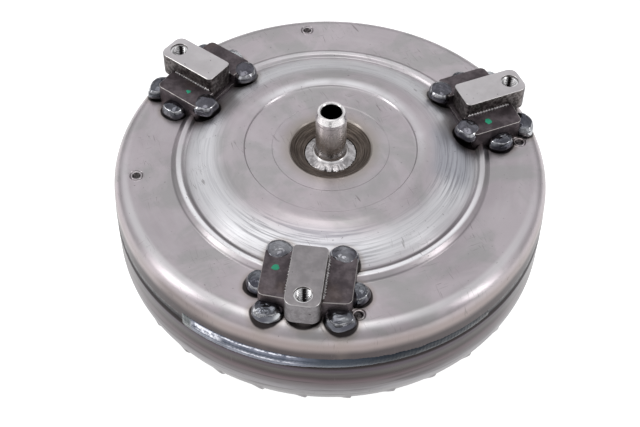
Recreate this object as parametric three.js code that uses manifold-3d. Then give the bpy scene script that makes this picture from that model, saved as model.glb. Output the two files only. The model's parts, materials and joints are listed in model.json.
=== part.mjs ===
// Torque converter of a car's automatic transmission, in millimetres, +Z up.
// The origin is on the spin axis, at the end face of the pump hub, so the part stands on z = 0.
// The engine side, with the pilot and the three drive lugs, faces +Z.
// One drive lug lies on -Y and the other two follow every 120 degrees.
import * as THREE from "three";
import { mergeVertices } from "three/addons/utils/BufferGeometryUtils.js";
import Module from "manifold-3d";

const wasm = await Module();
wasm.setup();

// ---- Driving dimensions -------------------------------------------------------------------
const SHELL_R = 132; // outer radius of the welded housing
const FACE_Z = 113; // flat outer ring of the front cover, above the pump hub's end
const GAP = 0.3; // left between pieces that touch
const HOUSING_FACETS = 36;
const RING_FACETS = 30;
const CENTRE_FACETS = 20;
const DEG = Math.PI / 180;
const FULL = 2 * Math.PI;

// Front cover, heights counted from its flat outer ring.
const COVER_T = 5;
const DOME_H = 10.6;
const RIM_R = 52.3; // crisp edge of the machined centre disc
const GROOVE_R = 88.3;
const BEAD_R = 92.2;
const SHOULDER_R = 9.5;
const SKIRT_H = 19.8;
const PIT = { radius: 117, count: 4, first: 14.7, hole: 2.5, depth: 1.8 };

// Torus of the fluid circuit: the split between impeller and turbine, and the ellipses of the shells.
const SPLIT_Z = FACE_Z - 52;
const IMPELLER = { r: 90, z: FACE_Z - 50, a: SHELL_R - 90.1, b: 36, wall: 3, blades: 31 };
const TURBINE = { r: 88, z: SPLIT_Z, a: 37, b: 27, wall: 1.6, blades: 29 };
const BLADE_INSET = 1.7; // from the shell's curve, so that the flats of the shell clear the blades
const CORE = { r: 90, a: 17, b: 10, wall: 1.2, end: 140 };

// Centre stack, heights counted from the flat ring of the cover.
const PILOT = { r: 9.3, bore: 6.2, tip: 40.5, collar: 15.8, flange: 30 };
const HUB = { r: 24, bore: 19, flange: 36, slot: 8, slotDepth: 9 };
const TURBINE_HUB = { r: 26, flange: 44, spline: 13, teeth: 16, front: -4.9, rear: -40 };
const RACE = { r: 22, spline: 17, teeth: 20, front: -48.8, rear: -58.8 };
const ROLLER = { r: 3.5, pitch: 25.8, count: 8 };
const BEARING = { inner: 18, outer: 28.5, needles: 10 };

// Lock-up clutch and its damper.
const PISTON = { outer: 121, bore: 26.4, t: 2.8, top: -8.2 };
const LINING = { inner: 98, outer: 117, t: 1.2 };
const SPRING = { r: 106, z: -19.3, coil: 4.6, wire: 1.3, arc: 30, turns: 5, count: 6 };
const KEY = { inner: 118, outer: 121.2, arc: 6 };

// Drive lugs: a threaded bar on a saddle that is welded to the cover.
const LUG = { count: 3, first: -90, inner: 86, outer: 127.6, w: 19.8, bottom: 6, top: 21.7 };
const LUG_HOLE = { radius: 120, r: 4.3 };
const SADDLE = { inner: 84, outer: 117, w: 52, top: 12.5, corner: 3 };

// ---- Solids -------------------------------------------------------------------------------
// A closed three.js geometry as a manifold-3d solid.
function solidOf(geometry) {
  const source = geometry.index ? geometry.toNonIndexed() : geometry;
  const bare = new THREE.BufferGeometry().setAttribute("position", source.getAttribute("position"));
  const merged = mergeVertices(bare, 1e-4);
  return new wasm.Manifold(
    new wasm.Mesh({
      numProp: 3,
      vertProperties: merged.attributes.position.array,
      triVerts: new Uint32Array(merged.index.array),
    }),
  );
}

function geometryOf(solid) {
  const mesh = solid.getMesh();
  const stride = mesh.numProp;
  const positions = new Float32Array(mesh.numVert * 3);
  for (let i = 0; i < mesh.numVert; i++)
    positions.set(mesh.vertProperties.subarray(i * stride, i * stride + 3), i * 3);
  const geometry = new THREE.BufferGeometry();
  geometry.setAttribute("position", new THREE.BufferAttribute(positions, 3));
  geometry.setIndex(new THREE.BufferAttribute(new Uint32Array(mesh.triVerts), 1));
  geometry.computeVertexNormals();
  return geometry;
}

const union = (solids) => solids.reduce((a, b) => a.add(b));
const cut = (solid, ...tools) => tools.reduce((a, b) => a.subtract(b), solid);

function signedArea(profile) {
  return profile.reduce((sum, [r, z], i) => {
    const [nextR, nextZ] = profile[(i + 1) % profile.length];
    return sum + (r * nextZ - nextR * z) / 2;
  }, 0);
}

// A closed [radius, height] outline turned about Z. Heights are counted from base.
function revolve(outline, facets = RING_FACETS, base = FACE_Z) {
  const outward = signedArea(outline) > 0 ? outline : [...outline].reverse();
  const points = [...outward, outward[0]].map(([r, z]) => new THREE.Vector2(r, base + z));
  return solidOf(new THREE.LatheGeometry(points, facets).rotateX(Math.PI / 2));
}

const ring = (inner, outer, low, high, facets = RING_FACETS) =>
  revolve([[inner, low], [outer, low], [outer, high], [inner, high]], facets);

// An arc of an ellipse in the [radius, height] plane, angles in degrees.
function arc(r, z, a, b, from, to, steps) {
  return Array.from({ length: steps + 1 }, (_, i) => {
    const t = (from + ((to - from) * i) / steps) * DEG;
    return [r + a * Math.cos(t), z + b * Math.sin(t)];
  });
}

const around = (count, first = 0) =>
  Array.from({ length: count }, (_, i) => (first + (i * 360) / count) * DEG);

// A flat outline extruded along Z, in the cover's heights.
function prism(outline, low, high) {
  const shape = new THREE.Shape(outline.map(([x, y]) => new THREE.Vector2(x, y)));
  const geometry = new THREE.ExtrudeGeometry(shape, {
    depth: high - low,
    bevelEnabled: false,
    curveSegments: 1,
  });
  return solidOf(geometry.translate(0, 0, FACE_Z + low));
}

function cylinder(r, low, high, facets, x = 0, y = 0) {
  const outline = around(facets).map((t) => [x + r * Math.cos(t), y + r * Math.sin(t)]);
  return prism(outline, low, high);
}

// A sector of a ring, arcs in degrees, centred on the angle mid.
function sector(inner, outer, low, high, mid, width, steps = 3) {
  const from = mid - width / 2;
  const edge = (r) => arc(0, 0, r, r, from, from + width, steps);
  return prism([...edge(outer), ...edge(inner).reverse()], low, high);
}

const turned = (solid, angle) => solid.rotate([0, 0, angle / DEG]);

// A block with rounded upright corners, from x0 to x1 and centred across y.
function roundedBox(x0, x1, width, corner, low, high, steps = 3) {
  const half = width / 2 - corner;
  const quarter = (x, y, start) => arc(x, y, corner, corner, start, start + 90, steps);
  const outline = [
    ...quarter(x1 - corner, half, 0),
    ...quarter(x0 + corner, half, 90),
    ...quarter(x0 + corner, -half, 180),
    ...quarter(x1 - corner, -half, 270),
  ];
  return prism(outline, low, high);
}

// ---- Housing ------------------------------------------------------------------------------
// Outer face of the cover from the pilot's hole to the shoulder.
function coverTop(raise = 0) {
  const face = [
    [16.2, 4.8], [23.8, 8.6], [25.6, DOME_H - 0.6], [35.2, DOME_H - 0.4], [35.8, DOME_H],
    [RIM_R - 0.6, DOME_H], [RIM_R, DOME_H + 1], [58, DOME_H + 1.1], [66, 10.1], [78, 6.2],
    [GROOVE_R, 1.1], [BEAD_R, 2.8], [BEAD_R + 2.4, 1.5], [BEAD_R + 4.6, 0],
  ];
  const shoulder = arc(SHELL_R - 1.3 - SHOULDER_R, -SHOULDER_R, SHOULDER_R, SHOULDER_R, 90, 0, 4);
  return [...face, ...shoulder].map(([r, z]) => [r, z + raise]);
}

function frontCover() {
  const skirt = [[SHELL_R - 0.1, -SKIRT_H], [127.9, -SKIRT_H]];
  const under = [
    ...arc(127.9 - 6, -COVER_T - 6, 6, 6, 0, 90, 2), [97, -COVER_T], [87, -3.6], [77, 1.6], [62, 5.8],
    [34, 5.6], [31, 3.9], [16.2, 3.9],
  ];
  const shell = revolve([...coverTop(), ...skirt, ...under], HOUSING_FACETS);
  const pits = around(PIT.count, PIT.first).map((t) =>
    cylinder(PIT.hole, -PIT.depth, 2, 8, PIT.radius * Math.cos(t), PIT.radius * Math.sin(t)),
  );
  return cut(shell, ...pits);
}

function impellerShell() {
  const { r, z, a, b, wall } = IMPELLER;
  const zc = z - FACE_Z;
  const outside = [
    [127.6, -15], [127.6, -26.8], [129.4, -29.6], [r + a, -31],
    ...arc(r, zc, a, b, 0, -140, 9), [52, -71], [HUB.flange + 0.5, -70],
  ];
  const inside = [
    [HUB.flange + 0.5, -67], [53, -68.2], ...arc(r, zc, a - wall, b - wall, -140, 0, 6),
    [r + a - wall, -31], [124.6, -26.5], [124.6, -15],
  ];
  // Where each blade's tab is pressed into the shell, the outside shows a short bump.
  const low = 26.3 * DEG;
  const cone = new THREE.ConeGeometry(3.2, 2.6, 4).rotateZ(-Math.PI / 2).rotateY(low);
  const bump = solidOf(cone.translate(r + a * Math.cos(low) - 0.5, 0, z - b * Math.sin(low)));
  const bumps = around(IMPELLER.blades, -90).map((t) => turned(bump, t));
  return union([revolve([...outside, ...inside], HOUSING_FACETS), ...bumps]);
}

// The bead fills the groove between the cover's skirt and the impeller shell.
function rimWeld() {
  const top = -SKIRT_H - GAP;
  const crown = [[SHELL_R - 0.5, top], [SHELL_R, top - 1.6], [SHELL_R, -28.4], [SHELL_R - 1, -30.1]];
  return revolve([[128, -26.5], [128, top], ...crown, [129.7, -29.2]], HOUSING_FACETS);
}

function pilot() {
  const { r, bore, tip, collar, flange } = PILOT;
  return revolve([
    [0, -1], [flange, -1], [flange, 3.5], [collar, 3.5], [collar, 5], [collar - 2, 5.8],
    [r + 1, 6.6], [r, 8.4], [r, tip - 4], [r - 1.5, tip], [bore + 0.5, tip], [bore, tip - 0.6],
    [bore, 5], [0, 4],
  ], CENTRE_FACETS);
}

function pilotWeld() {
  return revolve([[16.2, 5.3], [23.2, 8.8], [22, 9.4], [18.5, 8.2], [16.2, 6.4]], CENTRE_FACETS);
}

function pumpHub() {
  const { r, bore, flange, slot, slotDepth } = HUB;
  const tube = revolve([
    [bore, -FACE_Z + 1], [bore + 1, -FACE_Z], [r - 1.5, -FACE_Z], [r, -FACE_Z + 1.5], [r, -74],
    [r + 3, -70.5], [flange, -70.5], [flange, -66], [bore, -66],
  ]);
  const half = slot / 2;
  const outline = [[bore - 3, -half], [r + 3, -half], [r + 3, half], [bore - 3, half]];
  const cutter = prism(outline, -FACE_Z - 1, -FACE_Z + slotDepth);
  return cut(tube, ...around(2).map((t) => turned(cutter, t)));
}

const pumpHubWeld = () => revolve([[30, -70.9], [40.5, -71.2], [38, -72.8], [34, -73.6], [30, -72.8]]);

// ---- Drive lugs ---------------------------------------------------------------------------
function driveLug(angle) {
  const { inner, outer, w, bottom, top } = LUG;
  const bar = roundedBox(inner, outer, w, 3.5, bottom, top);
  return turned(cut(bar, cylinder(LUG_HOLE.r, bottom - 1, top + 1, 16, LUG_HOLE.radius)), angle);
}

// Everything under the cover's face, raised by the gap: what the saddles are cut to sit on.
function coverCutter() {
  const wide = SHELL_R + 8;
  return revolve([[wide, -30], [16, -30], ...coverTop(GAP), [wide, -SHOULDER_R]], HOUSING_FACETS);
}

function weldNugget([u, v, z], radii) {
  return solidOf(new THREE.SphereGeometry(1, 6, 4).scale(...radii).translate(u, v, FACE_Z + z));
}

function saddle(angle, cutter) {
  const { inner, outer, w, top, corner } = SADDLE;
  const block = roundedBox(inner, outer, w, corner, -1, top, 1);
  const half = LUG.w / 2 + GAP;
  const slot = [[inner - 9, -half], [outer + 9, -half], [outer + 9, half], [inner - 9, half]];
  const channel = prism(slot, LUG.bottom - GAP, top + 9);
  const nuggets = [-1, 1].flatMap((side) => [
    weldNugget([82.5, side * 18.2, 8.5], [7.6, 8.3, 5.3]),
    weldNugget([100.8, side * 28.6, 3], [7.4, 6.6, 5]),
    weldNugget([119.3, side * 20.2, 3], [6.8, 8.8, 5.3]),
  ]);
  return cut(turned(cut(union([block, ...nuggets]), channel), angle), cutter);
}

// ---- Fluid circuit ------------------------------------------------------------------------
// A ring of blades joined by its core ring. side is -1 for the impeller and 1 for the turbine.
function bladeRing(side, shell, splitZ) {
  const zc = shell.z - FACE_Z;
  const split = splitZ - FACE_Z;
  const inset = shell.wall + BLADE_INSET;
  const [first, last] = side < 0 ? [-5, -128] : [2, 132];
  const outerArc = arc(shell.r, zc, shell.a - inset, shell.b - inset, first, last, 3);
  const coreArc = (shrink) => arc(CORE.r, split, CORE.a - shrink, CORE.b - shrink, 0, side * CORE.end, 2);
  const blade = [...outerArc, ...coreArc(CORE.wall / 2).reverse()];
  const core = revolve([...coreArc(0), ...coreArc(CORE.wall).reverse()], shell.blades);
  const shape = new THREE.Shape(blade.map(([r, z]) => new THREE.Vector2(r, z)));
  const flat = new THREE.ExtrudeGeometry(shape, { depth: 1, bevelEnabled: false });
  flat.rotateX(Math.PI / 2).translate(0, 0.5, FACE_Z);
  // The blade sweeps round the axis as it runs outward.
  const sweep = 7 * DEG;
  const position = flat.attributes.position;
  for (let i = 0; i < position.count; i++) {
    const x = position.getX(i);
    const y = position.getY(i);
    const turn = (side * sweep * (x - shell.r)) / shell.a;
    position.setX(i, x * Math.cos(turn) - y * Math.sin(turn));
    position.setY(i, x * Math.sin(turn) + y * Math.cos(turn));
  }
  // Each blade stands in the middle of one flat of the core ring.
  const one = solidOf(flat);
  return union([core, ...around(shell.blades, 180 / shell.blades - 90).map((t) => turned(one, t))]);
}

function turbineShell() {
  const { r, z, a, b, wall } = TURBINE;
  const zc = z - FACE_Z;
  const outside = [...arc(r, zc, a, b, 0, 150, 6), [50, -36.5], [30, -36.5]];
  const inside = [[30, -38.1], [51, -38.1], ...arc(r, zc, a - wall, b - wall, 150, 0, 6)];
  return cut(revolve([...outside, ...inside]), ...rivetHoles(-40, -34));
}

const RIVET = { radius: 38, count: 6, first: 30, shank: 2.4 };
const rivetHoles = (low, high) =>
  around(RIVET.count, RIVET.first).map((t) =>
    cylinder(RIVET.shank + GAP, low, high, 6, RIVET.radius * Math.cos(t), RIVET.radius * Math.sin(t)),
  );

function turbineRivet(angle) {
  const { radius, shank } = RIVET;
  const x = radius * Math.cos(angle);
  const y = radius * Math.sin(angle);
  const head = (low, high) => cylinder(shank + 1.8, low, high, 6, x, y);
  return union([cylinder(shank, -39.5, -31, 6, x, y), head(-39.6, -38.4), head(-32.4, -31)]);
}

// Straight-sided teeth around a bore, as the solid to take out of it.
function splineCutter(radius, teeth, low, high) {
  const depth = 1.5;
  const outline = around(teeth).flatMap((t) => {
    const pitch = FULL / teeth;
    const tooth = [[radius, 0], [radius, 0.42], [radius - depth, 0.56], [radius - depth, 0.86]];
    return tooth.map(([r, share]) => [r * Math.cos(t + share * pitch), r * Math.sin(t + share * pitch)]);
  });
  return prism(outline, low, high);
}

function turbineHub() {
  const { r, flange, spline, teeth, front, rear } = TURBINE_HUB;
  const body = revolve([
    [10, rear], [29.2, rear], [29.2, -36.2], [flange, -36.2], [flange, -32.7], [r, -32.7],
    [r, -17.4], [r - 1.8, -17.4], [r - 1.8, -14.4], [r, -14.4], [r, front], [10, front],
  ], CENTRE_FACETS);
  return cut(body, splineCutter(spline, teeth, rear - 1, front + 1), ...rivetHoles(-37, -32));
}

const pistonSeal = () => ring(TURBINE_HUB.r - 1.5, TURBINE_HUB.r + 0.1, -17.1, -14.7, CENTRE_FACETS);

// ---- Stator and its one-way clutch --------------------------------------------------------
const STATOR = { hubIn: 34.3, hubOut: 51, shroudIn: 70.5, shroudOut: 72.8, low: -62, high: -44, blades: 15 };

function statorWheel() {
  const { hubIn, hubOut, shroudIn, shroudOut, low, high, blades } = STATOR;
  const mid = (low + high) / 2;
  // Aerofoil section across the height, thick at its leading edge and hooked over at the trailing one.
  const section = [[-1, 8], [2.6, 8.2], [3.2, 3], [-3.4, -7.6], [-1.8, 1]];
  const shape = new THREE.Shape(section.map(([y, z]) => new THREE.Vector2(y, z)));
  const foil = new THREE.ExtrudeGeometry(shape, { depth: shroudIn - hubOut + 1.6, bevelEnabled: false });
  // The section's own axes become Y and Z, and its depth runs outward along X.
  foil.applyMatrix4(new THREE.Matrix4().makeBasis(
    new THREE.Vector3(0, 1, 0), new THREE.Vector3(0, 0, 1), new THREE.Vector3(1, 0, 0),
  ));
  foil.translate(hubOut - 0.8, 0, FACE_Z + mid);
  const one = solidOf(foil);
  return union([
    ring(hubIn, hubOut, low, high), ring(shroudIn, shroudOut, low + 3, high - 1),
    ...around(blades).map((t) => turned(one, t)),
  ]);
}

function clutchOuterRace() {
  const body = ring(24, STATOR.hubIn - GAP, RACE.rear, RACE.front);
  // Each pocket is skewed, so that a roller wedges when it runs to the shallow end.
  const pocket = prism([[20, -4.2], [29.8, -4.2], [31, 7.2], [20, 7.2]], RACE.rear - 1, RACE.front + 1);
  return cut(body, ...around(ROLLER.count).map((t) => turned(pocket, t)));
}

function roller(angle) {
  const x = ROLLER.pitch * Math.cos(angle);
  const y = ROLLER.pitch * Math.sin(angle);
  return cylinder(ROLLER.r, RACE.rear + 0.4, RACE.front - 0.4, 10, x, y);
}

// One stamped ring whose fingers push each roller towards the shallow end of its pocket.
function rollerSpringRing() {
  const finger = prism([[23.6, 4.6], [27.6, 4.6], [27.6, 5.6], [23.6, 5.6]], RACE.rear + 2, RACE.front + 1);
  const hoop = ring(22.8, 29, RACE.front + 0.4, RACE.front + 1.3, CENTRE_FACETS);
  return union([hoop, ...around(ROLLER.count).map((t) => turned(finger, t))]);
}

function statorInnerRace() {
  const { r, spline, teeth, front, rear } = RACE;
  const blank = ring(14, r, rear, front + 1.3, CENTRE_FACETS);
  return cut(blank, splineCutter(spline, teeth, rear - 1, front + 3));
}

// ---- Thrust bearings ----------------------------------------------------------------------
const bearingRace = (low) => ring(BEARING.inner, BEARING.outer, low, low + 1, CENTRE_FACETS);

// A flat cage with its needles, one needle diameter high.
function bearingCage(low) {
  const { inner, outer, needles } = BEARING;
  const needle = new THREE.CylinderGeometry(1, 1, outer - inner - 3, 5).rotateZ(Math.PI / 2);
  const one = solidOf(needle.translate((inner + outer) / 2, 0, FACE_Z + low + 1));
  const cage = ring(inner + 0.4, outer - 0.4, low + 0.5, low + 1.5, CENTRE_FACETS);
  return union([cage, ...around(needles, 9).map((t) => turned(one, t))]);
}

// ---- Lock-up clutch -----------------------------------------------------------------------
const SPRING_PITCH = 360 / SPRING.count;
const PAD_ARC = SPRING_PITCH - SPRING.arc - 1;
const keys = around(SPRING.count).map((t) => t / DEG + SPRING_PITCH / 2);

function lockupPiston() {
  const { outer, bore, t, top } = PISTON;
  const disc = revolve([
    [bore, -22], [bore + 3, -22], [bore + 3, top - t + 1.6], [60, top - t + 1.6], [68, top - t],
    [outer, top - t], [outer, top], [69, top], [61, top + 1.6], [bore, top + 1.6],
  ]);
  const notch = (mid) => sector(KEY.inner, outer + 2, top - t - 1, top + 1, mid, KEY.arc, 1);
  return cut(disc, ...keys.map(notch));
}

const frictionLining = () => ring(LINING.inner, LINING.outer, PISTON.top + GAP, PISTON.top + GAP + LINING.t);

// The drive plate: a shallow channel over the springs, with pads between them and keys into the piston.
function damperRetainer() {
  const [top, bottom] = [-11.4, -23];
  const roof = top - 1.5;
  const wall = [[115.4, roof], [115.4, bottom], [117, bottom]];
  const channel = revolve([[96, roof], ...wall, [117, top], [96, top]]);
  const pads = keys.map((mid) => sector(107.5, 112.5, -23, -12.5, mid, PAD_ARC));
  const tabs = keys.map((mid) => sector(116, KEY.inner + 0.6, -14, -11.4, mid, KEY.arc - 1.4, 1));
  const posts = keys.map((mid) => sector(KEY.inner + 0.5, KEY.outer - 0.6, -14, -9, mid, KEY.arc - 1.4, 1));
  return union([channel, ...pads, ...tabs, ...posts]);
}

// The driven ring rides on the turbine shell and reaches up between the springs.
function damperDrivenRing() {
  const fingers = keys.map((mid) => sector(98, 105, -24.6, -15, mid, PAD_ARC));
  return union([ring(92, 99, -24.6, -23), ...fingers]);
}

// A coil spring bent along the damper's circle.
class ArcHelix extends THREE.Curve {
  constructor(mid) {
    super();
    this.mid = mid;
  }
  getPoint(t, target = new THREE.Vector3()) {
    const margin = 1.2;
    const angle = (this.mid + (t - 0.5) * (SPRING.arc - margin - 1.5)) * DEG;
    const phase = t * SPRING.turns * FULL;
    const r = SPRING.r + SPRING.coil * Math.cos(phase);
    const z = FACE_Z + SPRING.z + SPRING.coil * Math.sin(phase);
    return target.set(r * Math.cos(angle), r * Math.sin(angle), z);
  }
}

function damperSpring(mid) {
  const side = SPRING.wire * Math.SQRT1_2;
  const corners = [[side, side], [-side, side], [-side, -side], [side, -side]];
  const wire = new THREE.Shape(corners.map(([x, y]) => new THREE.Vector2(x, y)));
  return solidOf(new THREE.ExtrudeGeometry(wire, {
    steps: SPRING.turns * 6 - 2,
    bevelEnabled: false,
    curveSegments: 1,
    extrudePath: new ArcHelix(mid),
  }));
}

// ---- Materials ----------------------------------------------------------------------------
function metal(color, roughness, metalness = 0.9) {
  return new THREE.MeshStandardMaterial({ color, roughness, metalness });
}
const materials = {
  coverSteel: metal(0xb5afb0, 0.38),
  machined: metal(0xa8a4a2, 0.3),
  scale: metal(0x4f4848, 0.55, 0.7),
  weld: metal(0x5a626c, 0.35, 0.8),
  heatTint: metal(0x6b5a4c, 0.5, 0.7),
  shellSteel: metal(0x9c9596, 0.42),
  stamped: metal(0x8d8a88, 0.45),
  aluminium: metal(0xc2c4c6, 0.45),
  bearing: metal(0xc9c7c3, 0.2),
  spring: metal(0x6d6f73, 0.35),
  friction: metal(0x5d4a36, 0.95, 0),
  seal: metal(0x1c1c1c, 0.8, 0),
};

// ---- Assembly -----------------------------------------------------------------------------
const part = new THREE.Group();

function add(name, solid, material) {
  const mesh = new THREE.Mesh(geometryOf(solid), material);
  mesh.name = name;
  part.add(mesh);
}

function addHousing() {
  add("front_cover", frontCover(), materials.coverSteel);
  add("pilot", pilot(), materials.machined);
  add("pilot_weld", pilotWeld(), materials.heatTint);
  add("rim_weld", rimWeld(), materials.weld);
  add("impeller_shell", impellerShell(), materials.shellSteel);
  add("impeller_blade_ring", bladeRing(-1, IMPELLER, SPLIT_Z - 1), materials.stamped);
  add("pump_hub", pumpHub(), materials.machined);
  add("pump_hub_weld", pumpHubWeld(), materials.weld);
  add("front_bearing_race", bearingRace(-2.3), materials.bearing);
  add("rear_bearing_race", bearingRace(-65.7), materials.bearing);
  const cutter = coverCutter();
  around(LUG.count, LUG.first).forEach((angle, i) => {
    add(`drive_lug_${i + 1}`, driveLug(angle), materials.machined);
    add(`lug_saddle_${i + 1}`, saddle(angle, cutter), materials.scale);
  });
}

function addTurbine() {
  add("turbine_shell", turbineShell(), materials.stamped);
  add("turbine_blade_ring", bladeRing(1, TURBINE, SPLIT_Z + 1), materials.stamped);
  add("turbine_hub", turbineHub(), materials.machined);
  around(RIVET.count, RIVET.first).forEach((angle, i) => {
    add(`turbine_rivet_${i + 1}`, turbineRivet(angle), materials.stamped);
  });
  add("piston_seal", pistonSeal(), materials.seal);
  add("damper_driven_ring", damperDrivenRing(), materials.stamped);
  add("middle_bearing_race", bearingRace(-41.3), materials.bearing);
}

function addLockup() {
  add("damper_retainer", damperRetainer(), materials.stamped);
  keys.forEach((mid, i) => add(`damper_spring_${i + 1}`, damperSpring(mid + SPRING_PITCH / 2), materials.spring));
  add("lockup_piston", lockupPiston(), materials.stamped);
  add("friction_lining", frictionLining(), materials.friction);
}

function addStator() {
  add("stator_wheel", statorWheel(), materials.aluminium);
  add("stator_outer_race", clutchOuterRace(), materials.bearing);
  around(ROLLER.count).forEach((angle, i) => {
    add(`clutch_roller_${i + 1}`, roller(angle), materials.bearing);
  });
  add("roller_spring_ring", rollerSpringRing(), materials.spring);
  add("stator_inner_race", statorInnerRace(), materials.bearing);
  const washer = (low) => ring(RACE.r - 3, STATOR.hubIn - GAP, low, low + 2.8);
  add("stator_front_washer", washer(-46.9), materials.aluminium);
  add("stator_rear_washer", washer(-62), materials.aluminium);
  add("front_bearing_cage", bearingCage(-4.6), materials.bearing);
  add("middle_bearing_cage", bearingCage(-43.7), materials.bearing);
  add("rear_bearing_cage", bearingCage(-64.4), materials.bearing);
}

addHousing();
addTurbine();
addLockup();
addStator();

export default part;
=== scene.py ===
import json
import math

import bmesh
import bpy
from mathutils import Matrix, Vector, noise


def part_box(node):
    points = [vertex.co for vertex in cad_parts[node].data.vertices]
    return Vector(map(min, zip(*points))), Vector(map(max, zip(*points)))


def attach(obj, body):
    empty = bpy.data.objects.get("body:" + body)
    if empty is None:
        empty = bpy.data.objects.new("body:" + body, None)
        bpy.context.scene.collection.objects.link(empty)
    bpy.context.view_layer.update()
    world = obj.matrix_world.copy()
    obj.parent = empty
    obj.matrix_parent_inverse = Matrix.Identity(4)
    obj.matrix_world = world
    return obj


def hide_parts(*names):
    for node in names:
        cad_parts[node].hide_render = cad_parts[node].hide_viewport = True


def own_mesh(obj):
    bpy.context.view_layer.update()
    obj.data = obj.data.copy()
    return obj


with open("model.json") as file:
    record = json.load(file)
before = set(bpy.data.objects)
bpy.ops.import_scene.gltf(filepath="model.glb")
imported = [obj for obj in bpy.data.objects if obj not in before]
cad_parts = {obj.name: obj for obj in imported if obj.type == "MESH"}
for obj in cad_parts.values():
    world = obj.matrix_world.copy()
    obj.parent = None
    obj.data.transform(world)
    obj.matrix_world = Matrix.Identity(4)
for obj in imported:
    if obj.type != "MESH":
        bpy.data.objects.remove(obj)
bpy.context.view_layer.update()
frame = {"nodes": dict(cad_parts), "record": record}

MM = 0.001
LUGS = (1, 2, 3)
LUG_BOTTOM = 6.0  # height of a drive lug's underside above the cover's ring
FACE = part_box("drive_lug_1")[0].z - LUG_BOTTOM * MM
SHELL_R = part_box("rim_weld")[1].x / MM
BLADES = 31
MACHINED = (0.62, 0.61, 0.6)
SPRING_STEEL = (0.3, 0.31, 0.33)
DIMPLE_R = 117.0  # how far a dimple's middle is from the axis
DIMPLE_RIM = 4.6
DIMPLES = [math.radians(14.7 + 90 * i) for i in range(4)]
LUG_ANGLES = [math.radians(-90 + 120 * i) for i in range(3)]
# Weld nuggets on each side of a lug: radial, sideways and height of the middle, and the three half sizes.
NUGGETS = [
    ((82.5, 18.2, 8.9), (7.7, 8.4, 5.0)),
    ((101.0, 28.6, 2.0), (7.7, 6.7, 5.4)),
    ((119.4, 20.3, 2.2), (6.9, 8.9, 5.6)),
]
BAR_END_SHADOW = ((118.5, 0, 0), (7.0, 9.5, 0))  # the painted shadow under a bar's outer end, in the same form


def link(thing):
    bpy.context.scene.collection.objects.link(thing)


# ---- Camera and lights
def add_camera():
    turn = Matrix.Rotation(math.radians(6.17), 3, "Z")
    pitch, yaw, roll = math.radians(49.684), math.radians(-0.6418), math.radians(0.8032)
    ahead = Vector((math.sin(yaw) * math.cos(pitch), math.cos(yaw) * math.cos(pitch), -math.sin(pitch)))
    right = ahead.cross(Vector((0, 0, 1))).normalized()
    up = right.cross(ahead)
    level = Matrix((right, up, -ahead)).transposed()
    axes = turn @ level @ Matrix.Rotation(roll, 3, "Z")
    data = bpy.data.cameras.new("camera")
    data.sensor_width = 36
    data.lens = 71.065
    camera = bpy.data.objects.new("camera", data)
    place = turn @ Vector((0, -0.520776, 0.561994)) + Vector((0, 0, FACE))
    camera.matrix_world = Matrix.Translation(place) @ axes.to_4x4()
    link(camera)
    bpy.context.scene.camera = camera


def add_area(name, place, size, power, color=(1, 1, 1)):
    """A softbox that faces the middle of the part."""
    data = bpy.data.lights.new(name, "AREA")
    data.shape = "RECTANGLE"
    data.size, data.size_y = size
    data.energy = power
    data.color = color
    light = bpy.data.objects.new(name, data)
    light.location = place
    light.rotation_euler = (Vector((0, 0, 0.1)) - Vector(place)).to_track_quat("-Z", "Y").to_euler()
    link(light)


# ---- Material graphs
ACROSS_GROOVES = 0.25  # a quarter turn: highlights spread across the turning grooves
FINE = 0.0002  # height of tool marks and grain, in metres


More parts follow.
